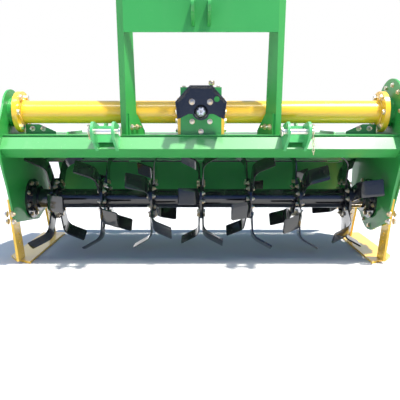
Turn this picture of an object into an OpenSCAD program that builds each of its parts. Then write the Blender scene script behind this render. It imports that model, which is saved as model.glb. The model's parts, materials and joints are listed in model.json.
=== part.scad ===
// Rotary tiller for a three-point hitch: a square front beam and a yellow cross tube carry a
// hood, two side plates and a centre gearbox. A rotor with bent blades runs across the bottom,
// and a hinged trailing board with two adjusting rods closes the rear. Millimetres, +Z up,
// front towards -Y. The origin is on the ground at the middle of the plan.

/* [Overall] */
// Distance between the inner faces of the side plates
inner_w = 1600; // [1200:10:2000]
// Thickness of each side plate
side_t = 8; // [5:1:12]
// Height of the rotor axis above the ground
rotor_z = 264; // [255:1:290]

/* [Front beam] */
// Side of the square beam
beam_side = 64; // [50:1:80]
// Wall of the square beam
beam_wall = 6; // [4:1:10]
// Distance of the beam centre in front of the rotor axis
beam_y = 265; // [250:1:285]
// Height of the beam centre above the rotor axis
beam_up = 259; // [240:1:280]
// Turn of the beam about its own length
beam_turn = 52.6; // [45:0.2:60]

/* [Cross tube and gearbox] */
// Outer diameter of the cross tube
tube_d = 95; // [80:1:110]
// Wall of the cross tube
tube_wall = 7; // [5:1:12]
// Distance of the tube axis in front of the rotor axis
tube_y = 155; // [140:1:175]
// Height of the tube axis and of the input shaft above the hood's level top
tube_up = 91; // [89:1:110]
// Diameter of the round end flanges
end_flange_d = 172; // [150:2:190]
// Thickness of the end flanges
end_flange_t = 20; // [12:1:24]
// Diameter of the boss between an end flange and its side plate
end_boss_d = 122; // [105:1:130]
// Length of the boss between an end flange and its side plate
end_boss_len = 28; // [10:1:40]
// Thickness of the square flanges at the gearbox
flange_t = 12; // [8:1:20]
// Pitch circle of the end flange bolts
end_pcd = 140; // [125:1:150]
// Diameter of the end flange bolt holes
end_hole_d = 11; // [9:1:14]
// Width of the gearbox between its side flanges
gearbox_w = 166; // [160:1:220]
// Depth of the gearbox
gearbox_d = 190; // [150:1:200]
// Height of the gearbox top above the tube axis
gearbox_up = 97; // [90:1:120]
// Radius of the input bearing cap
cap_r = 34; // [28:1:40]
// Length of the input bearing cap
cap_len = 26; // [15:1:40]

/* [Input shaft] */
// Outside diameter over the splines
spline_d = 35; // [30:0.5:45]
// Depth of each spline groove
spline_depth = 3.2; // [2:0.2:4]
// Number of splines
spline_count = 6; // [6:1:8]
// Free splined length in front of the bearing cap
spline_len = 78; // [60:1:110]
// Diameter of the plain shaft in the bearing cap
journal_d = 40; // [38:0.5:50]
// Clearance all round a shaft that turns in a housing
run_gap = 0.05; // [0.02:0.01:0.1]

/* [Input shield] */
// Half width of the shield at its widest
shield_half = 99; // [85:1:110]
// Rise of the shield above the shaft
shield_up = 98; // [95:1:125]
// Depth of the shield from its back plate to its rim
shield_depth = 70; // [40:1:90]
// Thickness of the shield sheet
shield_t = 4; // [3:1:6]

/* [Hood] */
// Thickness of the hood sheet
hood_t = 4; // [3:1:6]
// Reach of the level top behind the rotor axis
hood_back = 70; // [40:1:100]
// Distance of the board hinge behind the rotor axis
hinge_y = 262; // [250:1:275]
// Height of the board hinge above the rotor axis
hinge_up = 154; // [136:1:176]

/* [Rotor] */
// Radius over the blade tips
rotor_r = 240; // [225:1:245]
// Diameter of the rotor tube
rotor_tube_d = 89; // [76:1:102]
// Wall of the rotor tube
rotor_wall = 8; // [5:1:12]
// Distance from a side plate to the middle of the nearest blade flange
flange_inset = 120.5; // [115:0.5:145]
// Number of blade flanges
flange_count = 7; // [3:2:7]
// Radius of a blade flange
blade_flange_r = 96; // [85:1:105]
// Thickness of a blade flange
blade_flange_t = 10; // [8:1:14]
// Blades on each flange
blades_each = 6; // [4:2:6]
// Turn from one flange's blades to the next
helix_step = 17; // [10:1:25]
// Turn of the middle flange's first blade below straight ahead
helix_start = -12; // [-60:1:60]
// Thickness of a blade
blade_t = 8; // [6:1:12]
// Width of a blade at its wing
blade_w = 72; // [60:1:80]
// Mean radius of the blade's bend
bend_r = 50; // [40:1:55]
// Angle of the blade's bend
bend_a = 60; // [50:1:70]
// Length of the blade's wing past the bend
wing_len = 72; // [50:1:78]
// Diameter of the stub shaft in the end bearings
stub_d = 50; // [40:1:60]
// Diameter of the end bearing hubs
bearing_d = 120; // [100:2:140]
// Diameter of the end bearing flanges
bearing_flange_d = 184; // [160:2:200]
// Thickness of the end bearing flanges
bearing_flange_t = 10; // [8:1:14]
// Reach of an end bearing housing in from its side plate
bearing_len = 40; // [30:1:50]

/* [Hitch] */
// Distance of the lower hitch centres from the middle
hitch_half = 373; // [340:1:420]
// Clear gap between the ears of a lower hitch
hitch_gap = 70; // [60:1:80]
// Thickness of a hitch ear
ear_t = 10; // [8:1:14]
// Radius of a hitch ear round its pin
ear_r = 38; // [30:1:45]
// Diameter of the lower hitch pins
pin_d = 22; // [20:1:28]
// Distance of the pins in front of the rotor axis
pin_y = 362; // [350:1:370]
// Height of the pins above the rotor axis
pin_up = 323; // [311:1:336]
// Distance of the mast legs from the middle
mast_half = 302; // [280:1:320]
// Thickness of a mast leg's plates
leg_t = 8; // [5:1:12]
// Turn of a mast leg about its own length
leg_turn = 33; // [20:1:45]
// Width of a mast leg's side plate at its foot
leg_low_w = 66; // [52:1:68]
// Width of a mast leg's side plate at its top
leg_top_w = 50; // [40:1:60]
// Width of a mast leg's front plate at its top
leg_front_w = 36; // [30:1:44]
// Height of the mast's cross-member
head_h = 120; // [80:5:160]
// Distance of the top link hole in front of the rotor axis
top_y = 352; // [335:1:360]
// Height of the top link hole above the lower pins
mast_rise = 460; // [420:1:500]
// Diameter of the top link hole
top_hole_d = 20; // [19:0.5:26]
// Clear gap in the top link clevis
top_gap = 50; // [44:1:60]

/* [Skids and side plates] */
// Width of a skid's bars
skid_bar_w = 72; // [60:1:85]
// Thickness of a skid's bars
skid_t = 10; // [8:1:14]
// Width of a skid's sole
sole_w = 122; // [100:1:135]
// Reach of the sole outside its side plate
sole_out = 74; // [60:1:90]
// Reach of the sole in front of the rotor axis
sole_front = 185; // [160:1:200]
// Reach of the sole behind the rotor axis
sole_rear = 345; // [320:1:380]
// Height of the skid bars' upper ends above the rotor axis
bar_up = 36; // [0:2:60]
// Forward shift of the front bar's upper end
front_lean = 53; // [30:1:80]
// Forward shift of the rear bar's upper end
rear_lean = 108; // [90:1:120]
// Diameter of the holes that the skids are moved up and down by
skid_hole_d = 13; // [10:0.5:16]
// Radius of the left plate's top round the tube axis
left_lobe_r = 94; // [90:1:115]
// Radius of the chain case round the tube axis
case_top_r = 138; // [125:1:160]
// Radius of the chain case round the rotor axis
case_low_r = 150; // [130:1:160]
// Thickness of the chain case
case_t = 62; // [50:1:70]

/* [Trailing board] */
// Clear gap between an end of the trailing board and the side plate
board_gap = 45; // [20:1:60]
// Depth of the trailing board below its hinge
board_drop = 235; // [200:1:250]
// Reach of the board's turned lower lip behind the hinge plane
board_lip = 38; // [25:1:50]
// Lean of the trailing board away from straight down
board_lean = 24; // [15:1:35]
// Diameter of the hinge pin
hinge_pin_d = 14; // [10:1:18]
// Diameter of an adjusting rod
rod_d = 16; // [12:1:20]
// Diameter of the pin in a rod's eye
eye_pin_d = 12; // [8:1:16]
// Distance of the adjusting rods from the middle
rod_half = 430; // [400:5:480]
// Distance of the rods' lower pins below the board's hinge
lug_drop = 150; // [130:1:170]
// Distance of the rods' lower pins behind the hinge plane
lug_back = 46; // [40:1:55]

/* [Hidden] */
$fn = 64;

// The longest reaches in front of and behind the rotor axis put it off the plan's middle
front_reach = pin_y + ear_r;
board_reach = hinge_y + board_lip * cos(board_lean) + board_drop * sin(board_lean);
rear_reach = max(sole_rear, board_reach);
rotor_y = (front_reach - rear_reach) / 2;
// Heights from the ground, built up from the rotor axis
beam_z = rotor_z + beam_up;
hinge_z = rotor_z + hinge_up;
pin_z = rotor_z + pin_up;
bar_top = rotor_z + bar_up;
// Straight steps of a drawn arc and of a blade bend
arc_steps = 48;
bend_steps = 8;

inner_half = inner_w / 2;
outer_half = inner_half + side_t;
sole_half = outer_half + sole_out;
board_len = inner_w - 2 * board_gap;
flange_pitch = (inner_w - 2 * flange_inset) / (flange_count - 1);
flange_mid = (flange_count + 1) / 2;

green = [0.09, 0.50, 0.16];
mint = [0.45, 0.85, 0.50];
yellow = [0.90, 0.72, 0.10];
black = [0.05, 0.05, 0.06];
zinc = [0.75, 0.76, 0.78];

// The beam's square corner that points up
beam_half_diag = beam_side / sqrt(2);
beam_top_z = beam_z + beam_half_diag * cos(beam_turn - 45);
beam_top_y = beam_y + beam_half_diag * sin(beam_turn - 45);

// Level top of the hood, at the next whole millimetre above the beam's upper corner
hood_z = ceil(beam_top_z);
gearbox_low = hood_z + hood_t;
tube_z = gearbox_low + tube_up;
end_flange_x = inner_half - end_boss_len - end_flange_t;
gearbox_front = tube_y + gearbox_d / 2;
// Top of the gearbox casting, under its lid
gearbox_top = tube_z + gearbox_up - 10;

// Height of the top link hole and front face of the mast legs
top_z = pin_z + mast_rise;
leg_face_y = beam_top_y - 8;

// Five knuckles, the outer ones a little inside the board's ends
knuckle_pitch = (board_len / 2 - 65) / 2;
knuckle_x = [for (i = [-2:2]) i * knuckle_pitch];

// Where the rods' lower eyes sit at rest, and their guides on the hood
eye_y = hinge_y + lug_back * cos(board_lean) + lug_drop * sin(board_lean);
eye_z = hinge_z + lug_back * sin(board_lean) - lug_drop * cos(board_lean);
guide_y = hood_back + 60;
guide_z = max(hood_z + 110, hinge_z + 260);

// Lower edge of both side plates, from the board's hinge to below the rotor
plate_tail = [[hinge_y + 12, hinge_z + 24], [hinge_y + 12, rotor_z - 29], [hinge_y - 30, rotor_z - 68]];
// Front edge of both side plates, from below the rotor to beside the beam
plate_nose = [[-212, rotor_z - 69], [-257, rotor_z + 75], [-beam_y - 47, beam_z - 43]];
left_top = [-beam_y - 55, beam_z + 62];
right_top = [-beam_y - 65, beam_z + 57];

// Places a module whose Y zero is the rotor axis into the whole part's frame
module placed() {
    translate([0, rotor_y, 0]) children();
}

// Outline in the plane of the side plates, drawn in Y and Z, as a plate from x0 to x0 + t
module side_slab(x0, t) {
    translate([x0, 0, 0]) rotate([90, 0, 90]) linear_extrude(height = t) children();
}

// Straight round bar along X
module x_bar(x0, x1, d) {
    translate([x0, 0, 0]) rotate([0, 90, 0]) cylinder(h = x1 - x0, d = d);
}

// Mirror image for the side with negative X
module left_side() {
    mirror([1, 0, 0]) children();
}

module front_beam() {
    color(green) placed() translate([-inner_half, -beam_y, beam_z]) rotate([beam_turn, 0, 0])
        difference() {
            translate([0, -beam_side / 2, -beam_side / 2]) cube([inner_w, beam_side, beam_side]);
            translate([-1, -beam_side / 2 + beam_wall, -beam_side / 2 + beam_wall])
                cube([inner_w + 2, beam_side - 2 * beam_wall, beam_side - 2 * beam_wall]);
        }
}

// Bent sheet: level top, then a slope down to the hinge line
module hood() {
    front = -beam_top_y - 6;
    slope_end = [hinge_y - 19, hinge_z + 2];
    color(green) placed() side_slab(-inner_half, inner_w) polygon([
        [front, hood_z], [hood_back, hood_z], slope_end, slope_end + [3, hood_t],
        [hood_back + 2, hood_z + hood_t], [front, hood_z + hood_t]
    ]);
}

// Outline of the left plate
module left_outline() {
    r = left_lobe_r;
    translate([-tube_y, tube_z]) circle(r = r);
    polygon(concat(
        [[-tube_y - 0.7 * r, tube_z + 0.7 * r], [-tube_y + 0.78 * r, tube_z + 0.6 * r],
            [hood_back, hood_z + 30]],
        plate_tail, [[70, rotor_z - 114]], plate_nose, [left_top]
    ));
}

module side_plate_left() {
    color(green) placed() side_slab(-outer_half, side_t) left_outline();
}

// Outline of the chain case: a lobe round the tube axis and one round the rotor axis, joined
// by a straight-sided web that is a little narrower than each lobe
module case_outline(top_r, low_r) {
    span = sqrt(tube_y * tube_y + (tube_z - rotor_z) * (tube_z - rotor_z));
    web = 0.97;
    translate([-tube_y, tube_z]) circle(r = top_r);
    translate([0, rotor_z]) circle(r = low_r);
    translate([0, rotor_z]) rotate(atan2(tube_y, tube_z - rotor_z)) polygon([
        [-web * low_r, 0], [web * low_r, 0], [web * top_r, span], [-web * top_r, span]
    ]);
}

// Points of an arc round a centre, from one angle to another
function arc(centre, r, from, to) = [
    for (i = [0:arc_steps])
        let (a = from + (to - from) * i / arc_steps)
        centre + r * [cos(a), sin(a)]
];

// Outline of the right plate: both lobes of the chain case and a wing to the board's hinge
module right_outline() {
    polygon(concat(
        arc([-tube_y, tube_z], case_top_r, 190, 25),
        [[hood_back + 10, hood_z + 30]], plate_tail,
        arc([0, rotor_z], case_low_r, -38, -122),
        plate_nose, [right_top]
    ));
}

module side_plate_right() {
    color(green) placed() side_slab(inner_half, side_t) right_outline();
}

module chain_case() {
    color(green) placed() side_slab(outer_half, case_t - 6)
        case_outline(case_top_r - 10, case_low_r - 34);
}

// Flat lid on the outside of the chain case
module case_cover() {
    color(green) placed() side_slab(outer_half + case_t - 6, 6)
        case_outline(case_top_r - 4, case_low_r - 28);
}

module gearbox() {
    back = gearbox_front - gearbox_d;
    color(green) placed() difference() {
        translate([-gearbox_w / 2, -gearbox_front, gearbox_low])
            cube([gearbox_w, gearbox_d, gearbox_top - gearbox_low]);
        // Chamfers on the rear upper and lower edges
        for (z = [gearbox_low - 20, gearbox_top - 20])
            translate([-gearbox_w / 2 - 1, -back, z]) rotate([45, 0, 0])
                cube([gearbox_w + 2, 36, 36]);
        // Seat of the input shaft
        translate([0, -gearbox_front - 1, tube_z]) rotate([-90, 0, 0])
            cylinder(h = 61, d = journal_d + 2 * run_gap);
    }
}

// Lid plate on top of the gearbox
module gearbox_lid() {
    color(green) placed() translate([-gearbox_w / 2, -gearbox_front, gearbox_top])
        cube([gearbox_w, gearbox_d - 22, 10]);
}

// Ring round the input shaft, bolted to the front of the gearbox
module input_cap() {
    color(black) placed() translate([0, -gearbox_front, tube_z]) rotate([90, 0, 0])
        difference() {
            cylinder(h = cap_len, r = cap_r);
            translate([0, 0, -1]) cylinder(h = cap_len + 2, d = journal_d + 2 * run_gap);
        }
}

// Half of the cross tube, from the gearbox to a side plate
module axle_tube_right() {
    color(yellow) placed() translate([0, -tube_y, tube_z]) difference() {
        x_bar(gearbox_w / 2, inner_half, tube_d);
        x_bar(gearbox_w / 2 - 1, inner_half + 1, tube_d - 2 * tube_wall);
    }
}

module axle_tube_left() {
    left_side() axle_tube_right();
}

// Round flange with a boss to the side plate, one at each end of the cross tube
module end_flange() {
    difference() {
        union() {
            x_bar(end_flange_x, end_flange_x + end_flange_t, end_flange_d);
            x_bar(end_flange_x + end_flange_t / 2, inner_half, end_boss_d);
        }
        x_bar(end_flange_x - 1, inner_half + 1, tube_d + 0.1);
        for (i = [0:5]) rotate([60 * i + 30, 0, 0]) translate([0, 0, end_pcd / 2])
            x_bar(end_flange_x - 1, end_flange_x + end_flange_t + 1, end_hole_d);
    }
}

// Square flange at the gearbox, from the hood to just above the tube
module square_flange() {
    low = gearbox_low + 1 - tube_z;
    difference() {
        translate([gearbox_w / 2, -gearbox_d / 2 + 6, low])
            cube([flange_t, gearbox_d - 36, tube_d / 2 + 7 - low]);
        x_bar(gearbox_w / 2 - 1, gearbox_w / 2 + flange_t + 1, tube_d + 0.1);
    }
}

module end_flanges() {
    color(yellow) placed() translate([0, -tube_y, tube_z]) for (m = [0, 1])
        mirror([m, 0, 0]) end_flange();
}

module square_flanges() {
    color(yellow) placed() translate([0, -tube_y, tube_z]) for (m = [0, 1])
        mirror([m, 0, 0]) square_flange();
}

// Shield over the input shaft, a back plate with a rim that is open at the bottom
module shield_outline() {
    polygon([
        [-0.43 * shield_half, shield_up], [0.43 * shield_half, shield_up],
        [shield_half, 37], [0.92 * shield_half, -30], [50, -9], [-50, -9],
        [-0.92 * shield_half, -30], [-shield_half, 37]
    ]);
}

module input_shield() {
    back = gearbox_front + cap_len;
    inner = (shield_half - shield_t) / shield_half;
    color(black) placed() translate([0, -back, tube_z]) rotate([90, 0, 0]) {
        difference() {
            linear_extrude(height = shield_depth) shield_outline();
            translate([0, 0, shield_t]) linear_extrude(height = shield_depth)
                scale(inner) shield_outline();
            // Everything between the side walls below the shaft is open
            translate([-0.8 * shield_half, -60, shield_t])
                cube([1.6 * shield_half, 75, shield_depth]);
            translate([0, 0, -1]) cylinder(h = shield_t + 2, r = 24);
            translate([63, 49, -1]) cylinder(h = shield_t + 2, d = 22);
        }
    }
}

// Solid space of the beam and of the hood sheet, which the brackets on them are cut to fit
module beam_space() {
    translate([-200, -beam_y, beam_z]) rotate([beam_turn, 0, 0])
        translate([0, -beam_side / 2, -beam_side / 2]) cube([400, beam_side, beam_side]);
    translate([-200, -beam_top_y - 7, hood_z - 1]) cube([400, 400, hood_t + 1]);
}

// Side view of a hitch ear: round at the pin, with a foot on the beam's upper front face
module ear_outline() {
    difference() {
        union() {
            translate([-pin_y, pin_z]) circle(r = ear_r);
            polygon([
                [-pin_y - 14, pin_z - ear_r + 4], [-beam_y - 50, beam_z - 14],
                [-beam_y, beam_z], [-beam_top_y - 9, hood_z + 2],
                [-beam_top_y - 12, pin_z + ear_r - 14], [-pin_y, pin_z + ear_r]
            ]);
        }
        translate([-pin_y, pin_z]) circle(d = pin_d + 0.1);
    }
}

// Two ears welded to the beam
module hitch_right() {
    color(mint) placed() translate([hitch_half, 0, 0])
        for (x = [-hitch_gap / 2 - ear_t, hitch_gap / 2]) difference() {
            side_slab(x, ear_t) ear_outline();
            beam_space();
        }
}

module hitch_left() {
    left_side() hitch_right();
}

// Plates that close the hitches between their ears behind the pins
module hitch_bridges() {
    color(mint) placed() for (m = [0, 1]) mirror([m, 0, 0]) translate([hitch_half, 0, 0])
        difference() {
            side_slab(-hitch_gap / 2, hitch_gap) polygon([
                [-beam_top_y - 40, beam_z + 20], [-beam_top_y - 30, beam_z + 20],
                [-beam_top_y - 14, pin_z + ear_r - 18], [-beam_top_y - 22, pin_z + ear_r - 18]
            ]);
            beam_space();
        }
}

module hitch_pin_right() {
    inner = hitch_half - hitch_gap / 2 - ear_t - 14;
    outer = hitch_half + hitch_gap / 2 + ear_t + 16;
    color(zinc) placed() translate([0, -pin_y, pin_z]) x_bar(inner, outer, pin_d);
}

module hitch_pin_left() {
    left_side() hitch_pin_right();
}

// Turns a drawing of width and height to stand behind a mast leg's front corner, so that its
// width runs inwards and to the rear
module leg_plane() {
    rotate([0, 0, 90 + leg_turn]) rotate([90, 0, 0]) children();
}

// Mast leg: an angle of two plates with its corner to the front, tapered upwards
module mast_leg_right() {
    z0 = gearbox_low;
    z1 = top_z + 45;
    color(green) placed() translate([mast_half, -leg_face_y, 0]) {
        leg_plane() linear_extrude(height = leg_t)
            polygon([[0, z0], [leg_low_w, z0], [leg_top_w, z1], [0, z1]]);
        rotate([0, 0, leg_turn]) translate([0, leg_t, 0]) rotate([90, 0, 0])
            linear_extrude(height = leg_t)
                polygon([[leg_t, z0], [leg_front_w - 8, z0], [leg_front_w, z1], [leg_t, z1]]);
    }
}

module mast_leg_left() {
    left_side() mast_leg_right();
}

// Brackets on the hood that the legs' side plates are bolted to
module mast_feet() {
    z0 = gearbox_low;
    color(green) placed() for (m = [0, 1]) mirror([m, 0, 0])
        translate([mast_half, -leg_face_y, 0]) leg_plane()
            translate([0, 0, -leg_t]) linear_extrude(height = leg_t)
                polygon([[leg_t + 2, z0], [leg_low_w + 40, z0], [leg_low_w + 40, z0 + 14],
                    [leg_low_w - 10, z0 + 84], [leg_t + 2, z0 + 84]]);
}

// Cross-member between the legs with the top link clevis in the middle
module mast_head() {
    front = -leg_face_y;
    color(green) placed() {
        translate([-mast_half, front - leg_t, top_z - head_h + 40])
            cube([2 * mast_half, leg_t, head_h]);
        for (x = [-top_gap / 2 - 12, top_gap / 2]) side_slab(x, 12) difference() {
            union() {
                translate([-top_y, top_z]) circle(r = 32);
                polygon([[-top_y, top_z - 32], [front - leg_t, top_z - 60],
                    [front - leg_t, top_z + 34], [-top_y, top_z + 32]]);
            }
            translate([-top_y, top_z]) circle(d = top_hole_d);
        }
    }
}

// Flat bars from the backs of the legs down to the rear of the hood
module mast_braces() {
    low_z = gearbox_low;
    color(green) placed() for (m = [0, 1]) mirror([m, 0, 0])
        side_slab(mast_half + 2, leg_t) polygon([
            [-beam_top_y + 24, top_z + 20], [hood_back, low_z + 34], [hood_back, low_z],
            [hood_back - 60, low_z], [hood_back - 60, low_z + 24], [-beam_top_y + 24, top_z - 50]
        ]);
}

// Upright bar of a skid whose front edge stands at y on the sole, with its adjusting holes
module skid_bar(y, lean) {
    side_slab(outer_half, skid_t) difference() {
        polygon([[y, skid_t], [y + skid_bar_w, skid_t], [y + skid_bar_w - lean, bar_top],
            [y - lean, bar_top]]);
        for (share = [0.30, 0.43])
            translate([y + skid_bar_w / 2 - share * lean, skid_t + share * (bar_top - skid_t)])
                circle(d = skid_hole_d);
    }
}

// Skid: front bar, sole plate and rear bar as one bent piece under a side plate
module skid_right() {
    color(yellow) placed() {
        // Sole, flat on the ground, with its outer front corner cut back
        linear_extrude(height = skid_t) polygon([
            [sole_half - sole_w, -sole_front],
            [sole_half - 0.3 * sole_w, -sole_front + 0.4 * sole_w],
            [sole_half, -sole_front + 0.8 * sole_w], [sole_half, sole_rear],
            [sole_half - sole_w, sole_rear]
        ]);
        skid_bar(-sole_front, front_lean);
        skid_bar(sole_rear - skid_bar_w, rear_lean);
    }
}

module skid_left() {
    left_side() skid_right();
}

// Round housing on the inside of a side plate: a bolted flange and a hub with the shaft's bore
module rotor_bearing_right() {
    color(black) placed() translate([0, 0, rotor_z]) difference() {
        union() {
            x_bar(inner_half - bearing_flange_t, inner_half, bearing_flange_d);
            x_bar(inner_half - bearing_len, inner_half - bearing_flange_t / 2, bearing_d);
        }
        x_bar(inner_half - bearing_len - 1, inner_half + 1, stub_d + 2 * run_gap);
    }
}

module rotor_bearing_left() {
    left_side() rotor_bearing_right();
}

module rotor_tube() {
    tube_half = inner_half - bearing_len - 6;
    color(black) placed() translate([0, 0, rotor_z]) {
        difference() {
            x_bar(-tube_half, tube_half, rotor_tube_d);
            x_bar(-tube_half + 20, tube_half - 20, rotor_tube_d - 2 * rotor_wall);
        }
        x_bar(tube_half - 1, inner_half - 2, stub_d);
        x_bar(-inner_half + 2, -tube_half + 1, stub_d);
    }
}

// Place of blade flange k along the rotor
function flange_x(k) = (k - flange_mid) * flange_pitch;

module rotor_flanges() {
    color(black) placed() for (k = [1:flange_count])
        translate([flange_x(k) - blade_flange_t / 2, 0, rotor_z]) difference() {
            x_bar(0, blade_flange_t, 2 * blade_flange_r);
            x_bar(-1, blade_flange_t + 1, rotor_tube_d + 0.1);
        }
}

// Side view of a blade in X and Z: a straight shank, a bend towards +X and a straight wing
function blade_edge(r, bend_z) = [
    for (i = [0:bend_steps])
        let (a = bend_a * i / bend_steps)
        [bend_r + blade_t / 2 - r * cos(a), bend_z + r * sin(a)]
];

// One blade pointing along +Z from the rotor axis, with its flat on x = 0
module blade() {
    bend_z = rotor_r - (bend_r + blade_t / 2) * sin(bend_a) - wing_len * cos(bend_a);
    root_z = rotor_tube_d / 2 + 8;
    outer = blade_edge(bend_r + blade_t / 2, bend_z);
    inner = blade_edge(bend_r - blade_t / 2, bend_z);
    along = wing_len * [sin(bend_a), cos(bend_a)];
    turned = [for (i = [bend_steps:-1:0]) inner[i]];
    translate([0, blade_w / 2, 0]) rotate([90, 0, 0]) linear_extrude(height = blade_w)
        polygon(concat(
            [[0, root_z]], outer, [outer[bend_steps] + along],
            [inner[bend_steps] + along], turned, [[blade_t, root_z]]
        ));
}

// All blades of flange k, left and right hand in turn
module blades(k) {
    color(black) placed() translate([flange_x(k), 0, rotor_z])
        for (i = [0:blades_each - 1])
            rotate([90 + helix_start + helix_step * (k - flange_mid) + i * 360 / blades_each, 0, 0])
                mirror([(i + 1) % 2, 0, 0]) translate([blade_flange_t / 2, 0, 0]) blade();
}

module blades_1() { blades(1); }
module blades_2() { blades(2); }
module blades_3() { blades(3); }
module blades_4() { blades(4); }
module blades_5() { blades(5); }
module blades_6() { blades(6); }
module blades_7() { blades(7); }

// Input shaft: a plain journal in the cap and a splined end with a centre hole
module input_shaft() {
    spline_front = gearbox_front + cap_len + spline_len;
    color(zinc) placed() translate([0, 0, tube_z]) rotate([90, 0, 0]) difference() {
        union() {
            translate([0, 0, gearbox_front - 55]) cylinder(h = 55 + cap_len + 4, d = journal_d);
            translate([0, 0, gearbox_front]) cylinder(h = spline_front - gearbox_front, d = spline_d);
        }
        for (i = [0:spline_count - 1]) rotate([0, 0, (i + 0.5) * 360 / spline_count])
            translate([spline_d / 2 - spline_depth, -4.5, gearbox_front + cap_len + 10])
                cube([10, 9, spline_len]);
        translate([0, 0, spline_front - 12]) cylinder(h = 13, d = 6);
    }
}

// Pin on which the trailing board hangs
module hinge_pin() {
    color(zinc) placed() translate([0, hinge_y, hinge_z])
        x_bar(-inner_half, inner_half, hinge_pin_d);
}

// Low gussets under the cross tube beside its end flanges
module hood_gussets() {
    color(green) placed() for (m = [0, 1]) mirror([m, 0, 0])
        translate([0, -tube_y + 4, 0]) rotate([90, 0, 0])
            linear_extrude(height = 8) polygon([
                [end_flange_x - 130, gearbox_low], [end_flange_x - 4, gearbox_low],
                [end_flange_x - 4, tube_z - tube_d / 2 - 3],
                [end_flange_x - 60, tube_z - tube_d / 2 - 3],
                [end_flange_x - 130, gearbox_low + 10]
            ]);
}

// Low stiffening ribs along the hood's top
module hood_ribs() {
    color(green) placed() for (s = [-0.7, 0.7]) side_slab(s * inner_half - 3, 6) polygon([
        [-beam_y + 60, hood_z + hood_t], [hood_back - 30, hood_z + hood_t],
        [hood_back - 40, hood_z + hood_t + 10], [-beam_y + 70, hood_z + hood_t + 10]
    ]);
}

// Places a module drawn straight down from the hinge at the board's lean
module board_frame() {
    placed() translate([0, hinge_y, hinge_z]) rotate([board_lean, 0, 0]) children();
}

module board() {
    color(green) board_frame() {
        translate([-board_len / 2, 12, -board_drop]) cube([board_len, 4, board_drop - 4]);
        // Turned lip along the lower edge
        translate([-board_len / 2, 16, -board_drop]) cube([board_len, board_lip - 16, 4]);
    }
}

module board_knuckles() {
    color(green) board_frame() for (x = knuckle_x) difference() {
        union() {
            x_bar(x - 30, x + 30, 24);
            translate([x - 30, 0, -12]) cube([60, 12, 12]);
        }
        x_bar(x - 31, x + 31, hinge_pin_d + 2 * run_gap);
    }
}

// Lugs on the back of the board that hold the lower ends of the rods
module board_lugs() {
    color(green) board_frame() for (s = [-1, 1], x = [-17, 11])
        side_slab(s * rod_half + x, 6) difference() {
            polygon([[16, -lug_drop - 30], [16, -lug_drop + 30], [lug_back + 12, -lug_drop + 12],
                [lug_back + 12, -lug_drop - 12]]);
            translate([lug_back, -lug_drop]) circle(d = eye_pin_d + 0.1);
        }
}

// Pins through the lugs that the rods' eyes turn on
module lug_pins() {
    color(zinc) board_frame() for (s = [-1, 1])
        translate([0, lug_back, -lug_drop]) x_bar(s * rod_half - 24, s * rod_half + 24, eye_pin_d);
}

// Adjusting rod on the side s: an eye round the lug pin and a straight bar through the guide
module rod(s) {
    dy = eye_y - guide_y;
    dz = guide_z - eye_z;
    len = sqrt(dy * dy + dz * dz);
    color(zinc) placed() translate([s * rod_half, eye_y, eye_z]) {
        difference() {
            union() {
                rotate([atan2(dy, dz), 0, 0]) cylinder(h = len + 44, d = rod_d);
                x_bar(-9, 9, 30);
            }
            x_bar(-10, 10, eye_pin_d + 2 * run_gap);
        }
    }
}

module rod_left() { rod(-1); }
module rod_right() { rod(1); }

// Upright brackets on the hood that guide the rods' upper ends
module rod_guides() {
    color(green) placed() for (s = [-1, 1], x = [-26, 18])
        side_slab(s * rod_half + x, 8) polygon([
            [hood_back - 60, hood_z + hood_t], [hood_back, hood_z + hood_t],
            [guide_y + 20, guide_z - 18], [guide_y + 20, guide_z + 18], [guide_y - 18, guide_z + 18]
        ]);
}

front_beam();
hood();
side_plate_left();
side_plate_right();
chain_case();
case_cover();
gearbox();
gearbox_lid();
input_cap();
axle_tube_left();
axle_tube_right();
end_flanges();
square_flanges();
input_shield();
hitch_left();
hitch_right();
hitch_bridges();
hitch_pin_left();
hitch_pin_right();
mast_leg_left();
mast_leg_right();
mast_feet();
mast_head();
mast_braces();
skid_left();
skid_right();
rotor_bearing_left();
rotor_bearing_right();
hinge_pin();
hood_gussets();
hood_ribs();
rotor_tube();
rotor_flanges();
blades_1();
blades_2();
blades_3();
blades_4();
blades_5();
blades_6();
blades_7();
input_shaft();
board();
board_knuckles();
board_lugs();
lug_pins();
rod_left();
rod_right();
rod_guides();
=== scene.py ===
import json
import math

import bpy
import numpy as np
from mathutils import Matrix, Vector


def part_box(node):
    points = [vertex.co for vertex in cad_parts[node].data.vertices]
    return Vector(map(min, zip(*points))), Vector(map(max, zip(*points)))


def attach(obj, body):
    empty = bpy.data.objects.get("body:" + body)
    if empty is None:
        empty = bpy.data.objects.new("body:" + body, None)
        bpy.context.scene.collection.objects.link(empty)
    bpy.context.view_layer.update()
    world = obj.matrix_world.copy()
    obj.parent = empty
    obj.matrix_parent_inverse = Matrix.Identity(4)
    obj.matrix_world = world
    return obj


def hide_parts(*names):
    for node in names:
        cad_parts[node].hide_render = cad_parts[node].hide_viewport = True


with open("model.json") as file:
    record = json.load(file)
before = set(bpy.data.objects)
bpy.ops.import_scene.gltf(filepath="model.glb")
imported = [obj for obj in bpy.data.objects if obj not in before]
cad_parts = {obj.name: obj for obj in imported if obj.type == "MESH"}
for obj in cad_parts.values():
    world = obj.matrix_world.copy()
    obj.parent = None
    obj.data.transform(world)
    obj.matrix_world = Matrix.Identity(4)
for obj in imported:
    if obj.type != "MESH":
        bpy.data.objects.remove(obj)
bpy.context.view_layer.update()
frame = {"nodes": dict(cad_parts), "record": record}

bl_info = {
    "name": "Rotary tiller finish",
    "version": (1, 0, 0),
    "blender": (4, 5, 0),
    "location": "View3D > Sidebar > Tiller",
    "description": "Finishes, fastenings and small parts of a three-point rotary tiller",
    "category": "Object",
}

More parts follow.
